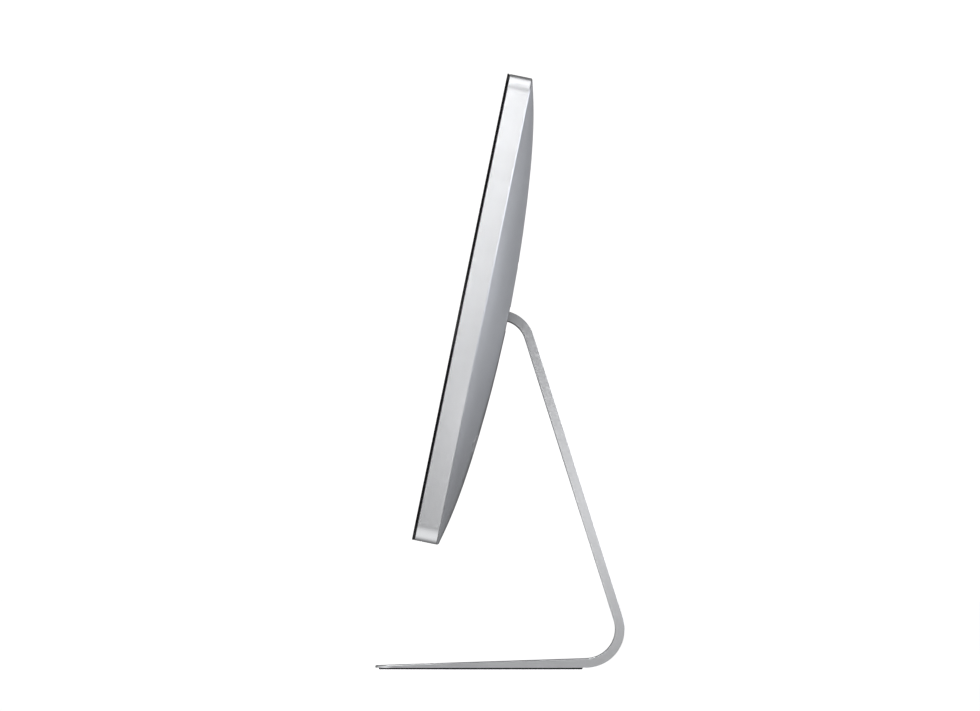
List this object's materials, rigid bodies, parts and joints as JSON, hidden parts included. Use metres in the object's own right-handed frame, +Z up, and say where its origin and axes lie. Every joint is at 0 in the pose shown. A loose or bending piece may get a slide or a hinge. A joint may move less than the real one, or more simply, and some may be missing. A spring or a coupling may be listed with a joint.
{
  "type": "desktop all-in-one computer",
  "caption": "Desktop all-in-one computer: wide glass-fronted display in a domed aluminium housing, tilting on a bent flat-plate stand with a thin foot",
  "frame": {"origin": "centre of the footprint, on the surface that the foot stands on", "axes": "+X to the user's right along the screen, +Y from the screen to the back, +Z up; a right-handed frame whose screen faces -Y"},
  "size_m": [0.65, 0.2078, 0.4935],
  "materials": {
    "aluminium": "bead-blasted, clear anodised",
    "black_rubber": "matte",
    "steel": "satin",
    "spring_steel": "oiled",
    "glass": "polished, black border behind",
    "black_plastic": "moulded",
    "panel_layer": "smooth",
    "white_plastic": "smooth",
    "board_green": "solder mask",
    "chip_black": "moulded",
    "copper": "drawn",
    "connector_steel": "plated",
    "brass": "turned"
  },
  "bodies": {
    "stand": {"stand_plate": "aluminium", "foot_pad": "black_rubber", "hinge_leaf": "steel", "hinge_shaft": "steel", "leaf_screws": "steel", "counterbalance_springs": "spring_steel", "clutch_washers": "spring_steel", "lock_nuts": "steel", "slot_shield": "black_plastic"},
    "display": {"rear_housing": "aluminium", "memory_door": "aluminium", "panel_gasket": "black_rubber", "hinge_brackets": "steel", "bracket_screws": "steel", "hinge_bushes": "brass", "front_glass": "glass", "panel_frame": "steel", "panel_screws": "steel", "panel_tray": "steel", "lcd_cell": "panel_layer", "optical_sheets": "white_plastic", "light_guide": "white_plastic", "led_strip": "white_plastic", "panel_control_board": "board_green", "main_board": "board_green", "camera_board": "board_green", "supply_board": "board_green", "power_switch": "board_green", "wireless_card": "board_green", "memory_modules": "board_green", "memory_sockets": "chip_black", "processor": "connector_steel", "graphics_chip": "chip_black", "board_chips": "chip_black", "board_power_parts": "chip_black", "supply_power_parts": "chip_black", "coin_cell": "connector_steel", "heat_sinks": "copper", "cooling_fins": "copper", "blower_casings": "black_plastic", "blower_covers": "black_plastic", "blower_screws": "steel", "board_screws": "steel", "storage_drive": "connector_steel", "drive_bracket": "steel", "memory_door_screws": "steel", "speaker_boxes": "black_plastic", "speaker_drivers": "black_plastic", "usb_ports": "connector_steel", "display_ports": "connector_steel", "ethernet_port": "connector_steel", "audio_jacks": "black_plastic", "power_inlet": "black_plastic", "inlet_pins": "brass", "camera_lens": "black_plastic", "antennas": "brass", "exhaust_grille": "black_plastic"},
    "fan_left": {"impeller_left": "black_plastic"},
    "fan_right": {"impeller_right": "black_plastic"},
    "button": {"power_button": "aluminium"}
  },
  "joints": [
    {"name": "tilt", "type": "hinge", "parent": "stand", "child": "display", "pos_m": [0, -0.0108, 0.2955], "axis": [-1, 0, 0], "range_deg": [-16.5, 13.5]},
    {"name": "fan_left_spin", "type": "hinge", "parent": "display", "child": "fan_left", "pos_m": [-0.16, -0.00252, 0.35076], "axis": [0, 0.9796, -0.2011], "continuous": true},
    {"name": "fan_right_spin", "type": "hinge", "parent": "display", "child": "fan_right", "pos_m": [0.16, -0.00252, 0.35076], "axis": [0, 0.9796, -0.2011], "continuous": true},
    {"name": "button_press", "type": "slide", "parent": "display", "child": "button", "axis": [0, -0.9796, 0.2011], "range_m": [0, 0.0006], "stiffness_N_per_m": 1500}
  ]
}
